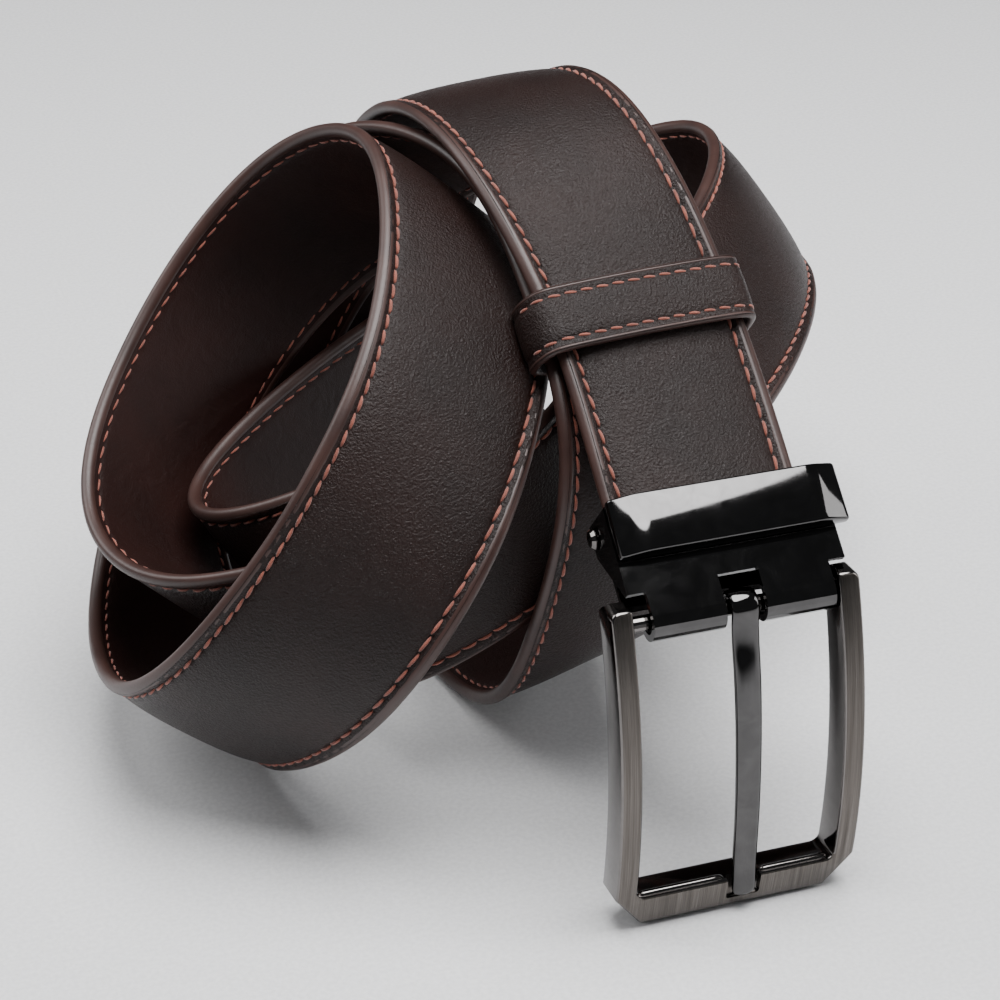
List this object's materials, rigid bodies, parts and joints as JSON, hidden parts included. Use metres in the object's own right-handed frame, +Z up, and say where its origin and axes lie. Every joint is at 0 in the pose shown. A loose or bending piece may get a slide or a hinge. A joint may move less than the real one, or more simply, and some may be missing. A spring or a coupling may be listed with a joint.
{
  "type": "leather belt",
  "caption": "Coiled leather dress belt with stitched padded strap, sliding keeper loop and a clamp buckle with swinging frame and prong.",
  "frame": {"origin": "centre of the bounding box at the surface that the coiled belt lies on", "axes": "+Z up; +Y from the buckle towards the back of the coil; +X to the right of someone who looks at the buckle's face"},
  "size_m": [0.1601, 0.1627, 0.1161],
  "materials": {
    "strap_leather": "fine grain with a soft sheen",
    "lining_leather": "smooth, faintly wrinkled",
    "edge_paint": "painted and rounded edge",
    "filler_board": "bonded leather board",
    "thread": "brick-coloured twisted thread",
    "black_chrome": "mirror polished dark plating",
    "gunmetal": "brushed dark plating",
    "steel": "bright wire"
  },
  "bodies": {
    "strap": {"strap_face": "strap_leather", "strap_lining": "lining_leather", "strap_filler": "filler_board", "edge_bead_left": "edge_paint", "edge_bead_right": "edge_paint", "stitch_row_left": "thread", "stitch_row_right": "thread", "clamp_cover": "black_chrome", "clamp_body": "black_chrome", "jaw_pin_left": "black_chrome", "jaw_pin_right": "black_chrome"},
    "keeper": {"keeper_face": "strap_leather", "keeper_lining": "lining_leather", "keeper_stitch_upper": "thread", "keeper_stitch_lower": "thread", "keeper_staple": "steel"},
    "clamp_flap": {"clamp_jaw": "black_chrome"},
    "frame": {"buckle_frame": "gunmetal", "cross_bar": "black_chrome"},
    "prong": {"prong": "black_chrome"}
  },
  "joints": [
    {"name": "frame_swing", "type": "hinge", "parent": "strap", "child": "frame", "pos_m": [0.01662, -0.07104, 0.05722], "axis": [0.9999, 0.0056, -0.0129], "range_deg": [-46, 35]},
    {"name": "prong_swing", "type": "hinge", "parent": "frame", "child": "prong", "pos_m": [0.01662, -0.07104, 0.05722], "axis": [0.9999, 0.0056, -0.0129], "range_deg": [-110, 0]},
    {"name": "flap_open", "type": "hinge", "parent": "strap", "child": "clamp_flap", "pos_m": [0.01662, -0.05482, 0.06448], "axis": [0.9999, 0.0056, -0.0129], "range_deg": [0, 90]},
    {"name": "keeper_slide", "type": "slide", "parent": "strap", "child": "keeper", "axis": [0.0825, -0.7725, -0.6296], "range_m": [-0.003, 0.0015]}
  ]
}
